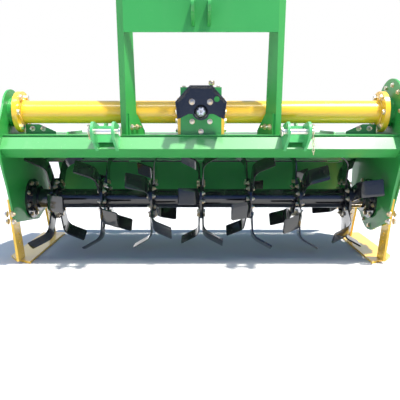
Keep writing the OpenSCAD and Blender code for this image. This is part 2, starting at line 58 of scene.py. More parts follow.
UP = np.array([0.0, 0.0, 1.0])
ALONG = np.array([1.0, 0.0, 0.0])
REAR = np.array([0.0, 1.0, 0.0])


# ---------------------------------------------------------------- places read from the frame

def low(node):
    """Lowest corner of a node's box, as an array."""
    return np.array(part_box(node)[0], dtype=float)


def high(node):
    """Highest corner of a node's box, as an array."""
    return np.array(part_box(node)[1], dtype=float)


def middle(node):
    """Centre of a node's box, as an array."""
    return (low(node) + high(node)) / 2


def joint_place(name):
    """Point on a joint's axis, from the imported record."""
    for joint in frame["record"]["behaviour"]["joints"]:
        if joint["name"] == name:
            return np.array(joint["pos_m"], dtype=float)
    raise RuntimeError("no joint " + name)


ROTOR = joint_place("rotor_spin")
TUBE = middle("axle_tube_right")
TUBE_R = (high("axle_tube_right")[2] - low("axle_tube_right")[2]) / 2
PLATE_X = high("axle_tube_right")[0]
GEARBOX_LOW = low("gearbox")
GEARBOX_HIGH = high("gearbox")
SHAFT = np.array([0.0, GEARBOX_LOW[1], TUBE[2]])
FLANGE_INSET = 0.048
GREEN_FROM = PLATE_X - 0.027
BLADE_SETS = 7
SIDES = ((-1, "left"), (1, "right"))


# ---------------------------------------------------------------- shader expressions

class Tone:
    """A shader socket that takes part in Python sums. Each operator adds one Math node."""

    def __init__(self, wires, socket):
        self.wires = wires
        self.socket = socket

    def _sum(self, operation, left, right):
        return self.wires.node("ShaderNodeMath", {"operation": operation}, left, right)

    def __add__(self, other):
        return self._sum("ADD", self, other)

    def __radd__(self, other):
        return self._sum("ADD", other, self)

    def __sub__(self, other):
        return self._sum("SUBTRACT", self, other)

    def __rsub__(self, other):
        return self._sum("SUBTRACT", other, self)

    def __mul__(self, other):
        return self._sum("MULTIPLY", self, other)

    def __rmul__(self, other):
        return self._sum("MULTIPLY", other, self)

    def over(self, low_value, high_value):
        """Smooth step of this value from 0 at low_value to 1 at high_value."""
        return self.wires.node("ShaderNodeMapRange", {"interpolation_type": "SMOOTHSTEP"},
                               self, low_value, high_value, 0.0, 1.0)


class Wiring:
    """The node tree of a material or of the world, with its nodes added by one method."""

    def __init__(self, tree):
        self.tree = tree

    def node(self, kind, settings, *values, output=0, **named):
        """Adds any node: settings are its attributes, values and named values its sockets."""
        made = self.tree.nodes.new(kind)
        for key, value in settings.items():
            setattr(made, key, value)
        for key, value in list(enumerate(values)) + list(named.items()):
            socket = made.inputs[key.replace("_", " ") if isinstance(key, str) else key]
            self.feed(socket, value)
        return Tone(self, made.outputs[output])

    def feed(self, socket, value):
        """Links a Tone to a socket, or sets a plain number or colour on it."""
        if isinstance(value, Tone):
            self.tree.links.new(value.socket, socket)
        else:
            socket.default_value = value

    def mix(self, first, second, share, how="MIX"):
        """Colour that goes from first to second, or blends them in another way, by a share."""
        made = self.tree.nodes.new("ShaderNodeMix")
        made.data_type = "RGBA"
        made.blend_type = how
        for socket, value in zip((made.inputs[0], made.inputs[6], made.inputs[7]),
                                 (share, first, second)):
            self.feed(socket, value)
        return Tone(self, made.outputs[2])


class Paint(Wiring):
    """A material being built: a Principled shader and the nodes in front of it."""

    def __init__(self, name, **constants):
        self.material = bpy.data.materials.new(name)
        self.material.use_nodes = True
        super().__init__(self.material.node_tree)
        self.shader = self.tree.nodes["Principled BSDF"]
        for key, value in constants.items():
            self.shader.inputs[key.replace("_", " ")].default_value = value
        self.place = self.node("ShaderNodeTexCoord", {}, output="Object")

    def noise(self, scale, detail=2.0, stretch=None, roughness=0.5):
        """Fractal noise from 0 to 1 on the object's own coordinates, stretched if asked."""
        place = self.place
        if stretch is not None:
            place = self.node("ShaderNodeMapping", {}, place, Scale=stretch)
        return self.node("ShaderNodeTexNoise", {}, Vector=place, Scale=scale, Detail=detail,
                         Roughness=roughness)

    def height(self):
        """Height above the ground in metres."""
        return self.node("ShaderNodeSeparateXYZ", {}, self.place, output="Z")

    def outward(self):
        """Distance from the tiller's middle along its width, in metres."""
        return self.node("ShaderNodeMath", {"operation": "ABSOLUTE"},
                         self.node("ShaderNodeSeparateXYZ", {}, self.place, output="X"))

    def facing_up(self):
        """1 where the surface faces up, 0 on walls and undersides."""
        normal = self.node("ShaderNodeNewGeometry", {}, output="Normal")
        return self.node("ShaderNodeSeparateXYZ", {}, normal, output="Z").over(0.2, 0.95)

    def bump(self, height, strength, distance):
        """Normal bent by a height in units of distance."""
        return self.node("ShaderNodeBump", {}, Strength=strength, Distance=distance,
                         Height=height)

    def done(self, **sockets):
        """Feeds the shader's sockets and returns the material."""
        for key, value in sockets.items():
            self.feed(self.shader.inputs[key.replace("_", " ")], value)
        return self.material


def shade(colour, factor):
    """A colour made lighter or darker, as four numbers."""
    return tuple(min(1.0, c * factor) for c in colour[:3]) + (1.0,)


def enamel(name, colour, dust=(0.62, 0.58, 0.50, 1.0), gloss=0.22, coat=0.75, haze=0.03,
           edge=None):
    """Sprayed gloss enamel: faint cloudiness, orange peel, settled dust and rain specks. The
    haze blurs its coat; an edge is a distance from the middle and the colour beyond it."""
    paint = Paint(name, Metallic=0.0, Coat_Roughness=haze, Coat_IOR=1.5,
                  Specular_IOR_Level=0.5)
    cloud = paint.noise(2.3, 4.0)
    specks = paint.noise(95.0, 2.0).over(0.66, 0.74)
    streak = paint.noise(9.0, 5.0, stretch=(1.0, 1.0, 0.22)).over(0.52, 0.78)
    near_ground = 1.0 - paint.height().over(0.0, 0.22)
    settled = paint.facing_up() * 0.14 + near_ground * 0.10 + 0.02
    grime = (streak * 0.6 + specks * 0.7 + 0.25) * settled
    body = paint.mix(shade(colour, 0.86), shade(colour, 1.10), cloud)
    if edge:
        body = paint.mix(body, edge[1], paint.outward().over(edge[0] - 0.001, edge[0] + 0.001))
    waves = paint.noise(14.0, 2.0)
    peel = paint.noise(420.0, 2.0)
    relief = paint.bump(peel * 0.12 + waves * 0.9, 0.10, 0.0016)
    return paint.done(
        Base_Color=paint.mix(body, dust, grime),
        Roughness=gloss + cloud * 0.06 + grime * 0.7,
        Coat_Weight=coat - grime * 1.5,
        Normal=relief,
    )


def plated(name, colour, warm, roughness=0.26):
    """Zinc-plated steel: fine grain, cloudy passivation and dull patches."""
    paint = Paint(name, Metallic=1.0)
    cloud = paint.noise(60.0, 3.0)
    grain = paint.noise(900.0, 2.0)
    dull = paint.noise(160.0, 3.0).over(0.45, 0.75)
    return paint.done(
        Base_Color=paint.mix(colour, warm, cloud.over(0.35, 0.65)),
        Roughness=roughness + dull * 0.22 + grain * 0.06,
        Normal=paint.bump(grain, 0.12, 0.0004),
    )


def machined(name, colour, roughness=0.22):
    """Bare turned steel: rings round the shaft's length and a thin oil film."""
    paint = Paint(name, Metallic=1.0)
    rings = paint.noise(260.0, 3.0, stretch=(0.15, 1.0, 0.15))
    film = paint.noise(40.0, 3.0)
    return paint.done(
        Base_Color=paint.mix(colour, shade(colour, 0.72), film.over(0.4, 0.8)),
        Roughness=roughness + rings * 0.16,
        Normal=paint.bump(rings, 0.15, 0.0003),
    )


def plain_floor(name, colour):
    """Matt studio floor with a very faint mottling."""
    paint = Paint(name)
    return paint.done(
        Base_Color=paint.mix(colour, shade(colour, 0.985), paint.noise(3.0, 3.0)),
        Roughness=0.92 + paint.noise(30.0, 2.0) * 0.06,
    )


MATERIALS = {}


def make_materials(sizes):
    """Makes each finish once, under the record's slot names and the small parts' own."""
    MATERIALS["green_paint"] = enamel("green_enamel", sizes.green, gloss=0.44, coat=0.40,
                                      haze=0.12)
    MATERIALS["light_green_paint"] = enamel("light_green_enamel", sizes.light_green, gloss=0.44,
                                            coat=0.40, haze=0.12)
    MATERIALS["yellow_paint"] = enamel("yellow_enamel", sizes.yellow, haze=0.12)
    MATERIALS["flange_paint"] = enamel("flange_enamel", sizes.yellow, haze=0.12,
                                       edge=(GREEN_FROM, tuple(sizes.green)))
    MATERIALS["black_paint"] = enamel("black_enamel", sizes.black, gloss=0.10)
    MATERIALS["zinc_steel"] = plated("zinc_plate", (0.78, 0.76, 0.72, 1), (0.80, 0.72, 0.60, 1))
    MATERIALS["shaft_steel"] = machined("turned_steel", (0.86, 0.84, 0.82, 1))
    MATERIALS["blade_steel"] = enamel("blade_enamel", (0.010, 0.011, 0.013, 1), gloss=0.14)
    MATERIALS["bolt_zinc"] = plated("bolt_zinc", (0.70, 0.66, 0.58, 1), (0.72, 0.56, 0.34, 1))


# ---------------------------------------------------------------- surfaces from arrays

def build(name, points, faces, body, slot, material=None, sharp=32.0):
    """Makes a mesh piece from points and faces, shades it smooth up to an angle, finishes it
    in the material and lets it ride on its body."""
    mesh = bpy.data.meshes.new(name)
    mesh.from_pydata(points.tolist(), [], faces)
    mesh.validate()
    mesh.polygons.foreach_set("use_smooth", [True] * len(mesh.polygons))
    mesh.set_sharp_from_angle(angle=math.radians(sharp))
    mesh.materials.append(MATERIALS[material or slot])
    piece = bpy.data.objects.new(name, mesh)
    bpy.context.scene.collection.objects.link(piece)
    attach(piece, body)
    return piece


def grid_faces(rows, columns):
    """Quads of a grid whose columns close round, with both ends closed by one face each."""
    r, c = np.meshgrid(np.arange(rows - 1), np.arange(columns), indexing="ij")
    n = (c + 1) % columns
    quads = np.stack([r * columns + c, r * columns + n, (r + 1) * columns + n,
                      (r + 1) * columns + c], axis=-1).reshape(-1, 4)
    ends = [list(range(columns - 1, -1, -1)), list(range((rows - 1) * columns, rows * columns))]
    return [list(map(int, q)) for q in quads] + ends


def ring_faces(rows, columns):
    """Quads of a grid that closes round both ways, such as a torus or a ring."""
    r, c = np.meshgrid(np.arange(rows), np.arange(columns), indexing="ij")
    m, n = (r + 1) % rows, (c + 1) % columns
    quads = np.stack([r * columns + c, r * columns + n, m * columns + n, m * columns + c],
                     axis=-1).reshape(-1, 4)
    return [list(map(int, q)) for q in quads]


def axes_for(direction):
    """Three unit axes as rows: two across and the last along the direction."""
    along = np.asarray(direction, dtype=float)
    along = along / np.linalg.norm(along)
    side = UP if abs(along[2]) < 0.9 else REAR
    first = np.cross(side, along)
    first /= np.linalg.norm(first)
    return np.stack([first, np.cross(along, first), along])


def lathe(profile, segments=24, sides=0):
    """Points of a turned shape about Z: each profile row is (radius, height, share), where
    share 1 pulls the circle to a regular polygon of that many sides and 0 leaves it round."""
    rows = np.asarray(profile, dtype=float)
    turn = np.linspace(0, 2 * math.pi, segments, endpoint=False)
    flat = np.ones_like(turn)
    if sides:
        step = 2 * math.pi / sides
        flat = math.cos(step / 2) / np.cos((turn % step) - step / 2)
    radius = rows[:, :1] * (1 + rows[:, 2:3] * (flat[None, :] - 1))
    return np.stack([radius * np.cos(turn), radius * np.sin(turn),
                     np.repeat(rows[:, 1:2], segments, axis=1)], axis=-1).reshape(-1, 3)


def place_copies(unit, faces, places, directions):
    """Copies a unit shape to each place, with its Z along each direction, as one point list."""
    points, all_faces = [], []
    for place, direction in zip(places, directions):
        shift = sum(len(p) for p in points)
        points.append(unit @ axes_for(direction) + np.asarray(place, dtype=float))
        all_faces += [[i + shift for i in face] for face in faces]
    return np.concatenate(points), all_faces


def bolt_shape(d, shank=0.0, washer=True):
    """Hex bolt head of thread diameter d standing on z = 0: washer, chamfered hexagon and,
    with a shank, the thread that sticks out past the nut."""
    across = 0.92 * d
    rows = []
    base = 0.0
    if washer:
        rows += [(1.10 * d, 0.0, 0), (1.10 * d, 0.12 * d, 0)]
        base = 0.12 * d
    rows += [(across, base, 1), (across, base + 0.56 * d, 1),
             (0.80 * d, base + 0.64 * d, 0), (0.78 * d, base + 0.65 * d, 0)]
    if shank > 0:
        top = base + 0.65 * d
        turns = max(2, int(shank / (0.16 * d)))
        for i in range(turns + 1):
            rows.append((0.50 * d - 0.05 * d * (i % 2), top + shank * i / turns, 0))
        rows.append((0.38 * d, top + shank + 0.05 * d, 0))
    return lathe(rows, 24, 6), grid_faces(len(rows), 24)


def bolts(name, body, places, directions, d=0.012, shank=0.0, washer=True):
    """One piece of like bolts at the places, each pointing away from its seat."""
    unit, faces = bolt_shape(d, shank, washer)
    points, all_faces = place_copies(unit, faces, places, directions)
    return build(name, points, all_faces, body, "zinc_steel", "bolt_zinc")


def weld_bead(name, body, centre, axis, radius, size=0.006, slot="green_paint", ripples=90):
    """Fillet weld round a circle: a small torus whose section swells with each ripple,
    r(u) = size (1 + 0.18 sin(ripples u))."""
    u = np.linspace(0, 2 * math.pi, 4 * ripples, endpoint=False)
    v = np.linspace(0, 2 * math.pi, 10, endpoint=False)
    swell = size * (1 + 0.18 * np.sin(ripples * u))
    across = radius + swell[:, None] * np.cos(v)[None, :]
    unit = np.stack([across * np.cos(u)[:, None], across * np.sin(u)[:, None],
                     swell[:, None] * np.sin(v)[None, :]], axis=-1).reshape(-1, 3)
    points = unit @ axes_for(axis) + np.asarray(centre)
    return build(name, points, ring_faces(len(u), len(v)), body, slot)


def coil(start, end, radius, wire, turns, sides=8):
    """Points of a spring: a small circle carried along a helix from start to end, whose first
    and last turns close up: z(u) = u + 0.06 sin(2 pi u) times the length."""
    u = np.linspace(0, 1, int(turns * 20) + 1)
    start, end = np.asarray(start, dtype=float), np.asarray(end, dtype=float)
    axes = axes_for(end - start)
    length = np.linalg.norm(end - start)
    turn = 2 * math.pi * turns * u
    path = np.stack([radius * np.cos(turn), radius * np.sin(turn),
                     length * (u - 0.06 * np.sin(2 * math.pi * u))], axis=-1)
    return tube_points(path, wire / 2, sides) @ axes + start, grid_faces(len(u), sides)


def tube_points(path, radius, sides, closed=False):
    """A circle of the given radius carried along a path of points, square to its direction."""
    if closed:
        ahead = np.roll(path, -1, axis=0) - np.roll(path, 1, axis=0)
    else:
        ahead = np.gradient(path, axis=0)
    ahead = ahead / np.linalg.norm(ahead, axis=1, keepdims=True)
    hint = np.array([0.13, 0.21, 0.97])
    first = np.cross(np.broadcast_to(hint, ahead.shape), ahead)
    first = first / np.linalg.norm(first, axis=1, keepdims=True)
    second = np.cross(ahead, first)
    v = np.linspace(0, 2 * math.pi, sides, endpoint=False)
    ring = first[:, None] * np.cos(v)[None, :, None] + second[:, None] * np.sin(v)[None, :, None]
    return (path[:, None] + radius * ring).reshape(-1, 3)


def loop(half_long, radius, wire, sides=8, steps=40):
    """A chain link or ring: a small circle carried round a stadium in the X-Z plane, of straight
    sides half_long each way and round ends of the radius."""
    u = np.linspace(0, 2 * math.pi, steps, endpoint=False)
    path = np.stack([radius * np.cos(u), np.zeros_like(u),
                     radius * np.sin(u) + half_long * np.sign(np.sin(u) + 1e-9)], axis=-1)
    return tube_points(path, wire / 2, sides, closed=True), ring_faces(steps, sides)


def seam(name, body, path, size, slot="green_paint"):
    """Straight or bent fillet weld: a circle carried along a path, swelling with each ripple."""
    path = np.asarray(path, dtype=float)
    spans = np.linalg.norm(np.diff(path, axis=0), axis=1)
    run = np.concatenate([[0], np.cumsum(spans)])
    u = np.linspace(0, run[-1], max(12, int(run[-1] / 0.0016)))
    line = np.stack([np.interp(u, run, path[:, i]) for i in range(3)], axis=-1)
    sides = 8
    points = tube_points(line, size, sides).reshape(len(u), sides, 3)
    swell = 1 + 0.16 * np.sin(u * 2 * math.pi / 0.0065)
    points = line[:, None] + (points - line[:, None]) * swell[:, None, None]
    return build(name, points.reshape(-1, 3), grid_faces(len(u), sides), body, slot)


# ---------------------------------------------------------------- sizes a user would change

class TillerFinish(bpy.types.PropertyGroup):
    """Colours and sizes of the tiller's finish and small parts."""
    green: bpy.props.FloatVectorProperty(
        name="Green", description="Main enamel colour", subtype="COLOR", size=4, min=0, max=1,
        default=(0.022, 0.290, 0.050, 1.0))
    light_green: bpy.props.FloatVectorProperty(
        name="Light green", description="Enamel of the lower hitch brackets", subtype="COLOR",
        size=4, min=0, max=1, default=(0.075, 0.44, 0.14, 1.0))
    yellow: bpy.props.FloatVectorProperty(
        name="Yellow", description="Enamel of the cross tube and skids", subtype="COLOR",
        size=4, min=0, max=1, default=(0.88, 0.52, 0.020, 1.0))
    black: bpy.props.FloatVectorProperty(
        name="Black", description="Enamel of the rotor and shield", subtype="COLOR",
        size=4, min=0, max=1, default=(0.006, 0.006, 0.008, 1.0))
    frame_bolt: bpy.props.FloatProperty(
        name="Frame bolt", description="Thread diameter of the frame bolts", unit="LENGTH",
        default=0.012, min=0.006, max=0.024)
    blade_bolt: bpy.props.FloatProperty(
        name="Blade bolt", description="Thread diameter of the blade bolts", unit="LENGTH",
        default=0.010, min=0.006, max=0.024)


class TillerStage(bpy.types.PropertyGroup):
    """Floor, lights and camera."""
    camera_reach: bpy.props.FloatProperty(
        name="Camera reach", description="Camera in front of the rotor axis", unit="LENGTH",
        default=2.133, min=1.0, max=6.0)
    camera_height: bpy.props.FloatProperty(
        name="Camera height", description="Camera above the floor", unit="LENGTH",
        default=0.6395, min=0.1, max=3.0)
    camera_dip: bpy.props.FloatProperty(
        name="Camera dip", description="Angle that the camera looks down", unit="ROTATION",
        default=math.radians(10.217), min=0.0, max=1.0)
    lens: bpy.props.FloatProperty(
        name="Lens", description="Focal length in millimetres on a 36 mm sensor",
        default=41.1, min=15.0, max=120.0)
    floor: bpy.props.FloatVectorProperty(
        name="Floor", description="Floor colour", subtype="COLOR", size=4, min=0, max=1,
        default=(0.58, 0.58, 0.58, 1.0))


# ---------------------------------------------------------------- operators

class TILLER_OT_stage(bpy.types.Operator):
    """Lay the pale floor and set the soft lights and the camera"""
    bl_idname = "tiller.stage"
    bl_label = "Stage"

    def execute(self, context):
        stage = context.scene.tiller_stage
        half = 30.0
        mesh = bpy.data.meshes.new("floor")
        sunk = -0.0005
        mesh.from_pydata([(-half, -half, sunk), (half, -half, sunk), (half, half, sunk),
                          (-half, half, sunk)], [], [(0, 1, 2, 3)])
        mesh.materials.append(plain_floor("pale_floor", tuple(stage.floor)))
        floor = bpy.data.objects.new("floor", mesh)
        context.scene.collection.objects.link(floor)
        self.lights(context)
        self.camera(context, stage)
        return {"FINISHED"}

    def lights(self, context):
        """A key from the right front, a long strip over the front beam and a pale surround."""
        key = bpy.data.lights.new("key", "SUN")
        key.energy = 7.0
        key.angle = math.radians(2.5)
        key.color = (1.0, 0.95, 0.86)
        self.aim(context, key, (1.36, -0.95, 4.00), (0, 0, 0))
        strip = bpy.data.lights.new("strip", "AREA")
        strip.shape = "RECTANGLE"
        strip.size, strip.size_y = 5.8, 0.50
        strip.energy = 64.0
        self.aim(context, strip, (-0.25, -1.12, 3.0), (-0.25, -0.27, 0.56))
        self.surround(context)
        context.scene.view_settings.view_transform = "Standard"

    def surround(self, context):
        """Pale surround: white low down and behind the tiller, bluer overhead and in front."""
        world = bpy.data.worlds.new("surround")
        world.use_nodes = True
        context.scene.world = world
        wires = Wiring(world.node_tree)
        way = wires.node("ShaderNodeTexCoord", {}, output="Generated")
        white = (1.0, 1.0, 1.0, 1.0)
        sky = self.fade(wires, way, "Z", (0.24, white), (0.50, (0.20, 0.36, 0.68, 1.0)))
        front = self.fade(wires, way, "Y", (-0.85, (0.36, 0.50, 0.90, 1.0)), (-0.30, white))
        sockets = world.node_tree.nodes["Background"].inputs
        wires.feed(sockets["Color"], wires.mix(sky, front, 1.0, "MULTIPLY"))
        wires.feed(sockets["Strength"], 1.0)

    def fade(self, wires, way, axis, first, last):
        """Colour that goes from the first end's to the last's as a direction's part rises."""
        part = wires.node("ShaderNodeSeparateXYZ", {}, way, output=axis)
        share = wires.node("ShaderNodeMapRange", {}, part, From_Min=first[0], From_Max=last[0])
        return wires.mix(first[1], last[1], share)

    def aim(self, context, light, place, target):
        """Puts a light at a place, facing a target."""
        lamp = bpy.data.objects.new(light.name, light)
        rows = axes_for(np.asarray(place, dtype=float) - np.asarray(target, dtype=float))
        matrix = np.eye(4)
        matrix[:3, :3] = rows.T
        matrix[:3, 3] = place
        lamp.matrix_world = Matrix(matrix.tolist())
        context.scene.collection.objects.link(lamp)

    def camera(self, context, stage):
        """A plain camera in front of the tiller's middle, looking slightly down."""
        view = bpy.data.cameras.new("view")
        view.lens = stage.lens
        view.sensor_width = 36.0
        eye = bpy.data.objects.new("view", view)
        eye.location = (0.0, ROTOR[1] - stage.camera_reach, stage.camera_height)
        eye.rotation_euler = (math.pi / 2 - stage.camera_dip, 0.0, 0.0)
        view.shift_x = -0.0025
        context.scene.collection.objects.link(eye)
        context.scene.camera = eye


class TILLER_OT_finishes(bpy.types.Operator):
    """Give every node of the frame its paint or plating"""
    bl_idname = "tiller.finishes"
    bl_label = "Finishes"

    def execute(self, context):
        make_materials(context.scene.tiller_finish)
        for part in frame["record"]["subparts"]:
            node = frame["nodes"][part["node"]]
            finish = MATERIALS[part["material_slot"]]
            if part["node"] == "end_flanges":
                finish = MATERIALS["flange_paint"]
            if part["node"] == "hinge_pin":
                finish = MATERIALS["black_paint"]
            node.data.materials.clear()
            node.data.materials.append(finish)
        return {"FINISHED"}


class TILLER_OT_tube_bolts(bpy.types.Operator):
    """Bolt the cross tube's round flanges to the side plates"""
    bl_idname = "tiller.tube_bolts"
    bl_label = "Tube flange bolts"

    def execute(self, context):
        d = context.scene.tiller_finish.frame_bolt
        ring = 0.070
        face = PLATE_X - FLANGE_INSET
        places, directions = [], []
        for side in (-1, 1):
            for turn in np.radians(np.arange(30, 390, 60)):
                places.append([side * face, TUBE[1] - ring * math.sin(turn),
                               TUBE[2] + ring * math.cos(turn)])
                directions.append([-side, 0, 0])
        bolts("tube_bolts", "frame", places, directions, d)
        for side, word in SIDES:
            weld_bead("tube_weld_" + word, "frame", [side * face, TUBE[1], TUBE[2]], ALONG,
                      TUBE_R + 0.002, 0.005, "yellow_paint")
        return {"FINISHED"}


class TILLER_OT_gearbox_parts(bpy.types.Operator):
    """Bolt the gearbox's flanges, lid, front and shield, and add its breather and plugs"""
    bl_idname = "tiller.gearbox_parts"
    bl_label = "Gearbox bolts, breather and plugs"

    def execute(self, context):
        d = context.scene.tiller_finish.frame_bolt
        flange_low, flange_high = low("square_flanges"), high("square_flanges")
        places, directions = [], []
        for side in (-1, 1):
            for y in (flange_low[1] + 0.016, flange_high[1] - 0.016):
                for z in np.linspace(flange_low[2] + 0.018, flange_high[2] - 0.018, 4):
                    places.append([side * flange_high[0], y, z])
                    directions.append([side, 0, 0])
        bolts("gearbox_flange_bolts", "frame", places, directions, d)
        for side, word in SIDES:
            weld_bead("gearbox_weld_" + word, "frame", [side * flange_high[0], TUBE[1], TUBE[2]],
                      ALONG, TUBE_R + 0.002, 0.005, "yellow_paint")

        front = GEARBOX_LOW[1]
        bolts("gearbox_front_bolts", "frame",
              [[-0.036, front, SHAFT[2] - 0.039], [0.036, front, SHAFT[2] - 0.039],
               [0.0, front, GEARBOX_LOW[2] + 0.012]], [-REAR] * 3, 0.010)
        lid_low, lid_high = low("gearbox_lid"), high("gearbox_lid")
        places = [[x, y, lid_high[2]] for y in (lid_low[1] + 0.014, lid_high[1] - 0.014)
                  for x in np.linspace(lid_low[0] + 0.014, lid_high[0] - 0.014, 4)]
        bolts("gearbox_lid_bolts", "frame", places, [UP] * len(places), 0.008)

        shield_t = 0.004
        shield = low("input_cap")[1] - shield_t
        bolts("shield_bolts", "frame",
              [[x, shield, SHAFT[2] + 0.038] for x in (-0.036, 0.036)], [-REAR] * 2, 0.011)
        gusset_low, gusset_high = low("hood_gussets"), high("hood_gussets")
        places = [[side * (gusset_high[0] - away), gusset_low[1], gusset_low[2] + 0.022]
                  for side in (-1, 1) for away in (0.030, 0.075)]
        bolts("gusset_studs", "frame", places, [-REAR] * 4, 0.010, shank=0.018)
        self.breather(lid_low, lid_high)
        self.plugs()
        self.shaft()
        return {"FINISHED"}

    def shaft(self):
        """Splined input shaft: circles swept along its axis, whose radius falls to the spline's
        root by a steep smooth step of the sixfold angle, with a chamfered nose and a centre
        hole; and a rubber seal ring round it at the cap."""
        front, back = low("input_shaft")[1], high("input_shaft")[1]
        cap = low("input_cap")[1]
        top = (high("input_shaft")[2] - low("input_shaft")[2]) / 2
        rows = np.array([(0.0016, back, 0), (top, back, 0), (top, cap - 0.003, 0),
                         (0.0165, cap - 0.006, 0), (0.0168, cap - 0.010, 0),
                         (0.0170, cap - 0.014, 1), (0.0170, front + 0.004, 1),
                         (0.0150, front, 1), (0.0056, front, 0), (0.0040, front + 0.004, 0),
                         (0.0010, front + 0.012, 0)])
        turn = np.linspace(0, 2 * math.pi, 144, endpoint=False)
        groove = 1 / (1 + np.exp(14 * (np.cos(6 * turn) + 0.15)))
        radius = rows[:, :1] - rows[:, 2:3] * 0.0042 * groove[None, :]
        points = np.stack([radius * np.cos(turn), np.repeat(rows[:, 1:2], 144, axis=1),
                           SHAFT[2] + radius * np.sin(turn)], axis=-1).reshape(-1, 3)
        build("splined_shaft", points, grid_faces(len(rows), 144), "input", "zinc_steel",
              "shaft_steel", 40.0)
        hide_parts("input_shaft")
        ring = [(0.0205, 0.0, 0), (0.0275, 0.0, 0), (0.0275, 0.005, 0), (0.0245, 0.0075, 0),
                (0.0205, 0.004, 0)]
        points = lathe(ring, 48) @ axes_for(-REAR) + np.array([0.0, cap, SHAFT[2]])
        build("shaft_seal", points, ring_faces(len(ring), 48), "frame", "black_paint", None, 40.0)

    def breather(self, lid_low, lid_high):
        """Turned breather cap on a hexagon foot, at the back of the lid."""
        rows = [(0.013, 0.0, 1), (0.013, 0.009, 1), (0.007, 0.010, 0), (0.007, 0.016, 0),
                (0.0125, 0.017, 0), (0.0135, 0.020, 0), (0.0135, 0.030, 0), (0.011, 0.034, 0),
                (0.004, 0.0355, 0)]
        points = lathe(rows, 30, 6) + np.array([0.045, lid_high[1] - 0.05, lid_high[2]])
        build("breather", points, grid_faces(len(rows), 30), "frame", "zinc_steel", "bolt_zinc")

    def plugs(self):
        """Level plug on the rear wall of the gearbox and drain plug below it."""
        places = [[0.05, GEARBOX_HIGH[1], SHAFT[2] - 0.01],
                  [-0.05, GEARBOX_HIGH[1], GEARBOX_LOW[2] + 0.055]]
        bolts("gearbox_plugs", "frame", places, [REAR, REAR], 0.018)


class TILLER_OT_blades(bpy.types.Operator):
    """Forge the rotor's bent blades, with their ground edges, and bolt them to the flanges"""
    bl_idname = "tiller.blades"
    bl_label = "Blades and blade bolts"

    def execute(self, context):
        d = context.scene.tiller_finish.blade_bolt
        heads, nuts, outs, ins = [], [], [], []
        each = 6
        unit, faces = self.blade()
        for k in range(BLADE_SETS):
            name = "blades_%d" % (k + 1)
            x = middle(name)[0]
            points, all_faces = [], []
            for i in range(each):
                turn = math.radians(90 - 12 + 17 * (k - 3) + 60 * i)
                hand = 1.0 if i % 2 else -1.0
                out = np.array([0.0, -math.sin(turn), math.cos(turn)])
                across = np.array([0.0, math.cos(turn), math.sin(turn)])
                rows = np.stack([hand * ALONG, hand * across, out])
                shift = sum(len(p) for p in points)
                points.append(unit @ rows + [x, ROTOR[1], ROTOR[2]])
                all_faces += [[j + shift for j in face] for face in faces]
                for t in (-0.019, 0.019):
                    seat = np.array([x, ROTOR[1], ROTOR[2]]) + 0.080 * out + t * across
                    heads.append(seat + hand * 0.0131 * ALONG)
                    outs.append(hand * ALONG)
                    nuts.append(seat - hand * 0.005 * ALONG)
                    ins.append(-hand * ALONG)
            piece = build("bent_" + name, np.concatenate(points), all_faces, "rotor",
                          "black_paint", "blade_steel")
            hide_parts(name)
        bolts("blade_bolts", "rotor", heads, outs, d, washer=False)
        bolts("blade_nuts", "rotor", nuts, ins, d, shank=0.006)
        return {"FINISHED"}

    def blade(self):
        """One blade out along Z: a flat shank at x = 5 to 13 mm, a smooth bend to +X of 60
        degrees and a wing. At each step s of the middle line the section is a flat bar of
        width w(s), with a ground edge on the cutting side and rounded corners at the tip."""
        root, bend_at, bend_r, angle, wing = 0.0525, 0.1573, 0.050, math.radians(60), 0.072
        thick, width = 0.008, 0.072
        shank = bend_at - root
        total = shank + bend_r * angle + wing
        s = np.concatenate([np.linspace(0, shank, 4, endpoint=False),
                            np.linspace(shank, shank + bend_r * angle, 10, endpoint=False),
                            np.linspace(shank + bend_r * angle, total - 0.007, 4, endpoint=False),
                            total - 0.007 * (1 - np.sin(np.linspace(0, math.pi / 2, 8)))])
        turn = np.clip((s - shank) / bend_r, 0, angle)
        past = np.clip(s - shank - bend_r * angle, 0, None)
        x = 0.009 + bend_r * (1 - np.cos(turn)) + past * math.sin(angle)
        z = root + np.minimum(s, shank) + bend_r * np.sin(turn) + past * math.cos(angle)
        narrow = 1 - 0.12 * np.clip(1 - s / shank, 0, 1)
        left = total - s
        corner = np.where(left < 0.007, 0.007 - np.sqrt(np.clip(0.007 ** 2 - (0.007 - left) ** 2,
                                                               0, None)), 0.0)
        half = width / 2 * narrow - corner
        ground = 0.016 * np.clip((s - shank * 0.6) / 0.03, 0, 1)
        edge = thick / 2 * (1 - 0.72 * np.clip((s - shank * 0.6) / 0.03, 0, 1))
        t = thick / 2
        ones = np.ones_like(s)
        section = [(half - 0.0012, t * ones), (half, (t - 0.0012) * ones),
                   (half, -(t - 0.0012) * ones), (half - 0.0012, -t * ones),
                   (-half + 0.001, -t * ones), (-half, -(t - 0.001) * ones),
                   (-half, 2 * edge - t),
                   (-half + ground + 0.001, t * ones)]
        y = np.stack([a for a, b in section], axis=1)
        n = np.stack([b for a, b in section], axis=1)
        normal_x, normal_z = -np.cos(turn)[:, None], np.sin(turn)[:, None]
        points = np.stack([x[:, None] + n * normal_x, y,
                           z[:, None] + n * normal_z], axis=-1)
        return points.reshape(-1, 3), grid_faces(len(s), len(section))


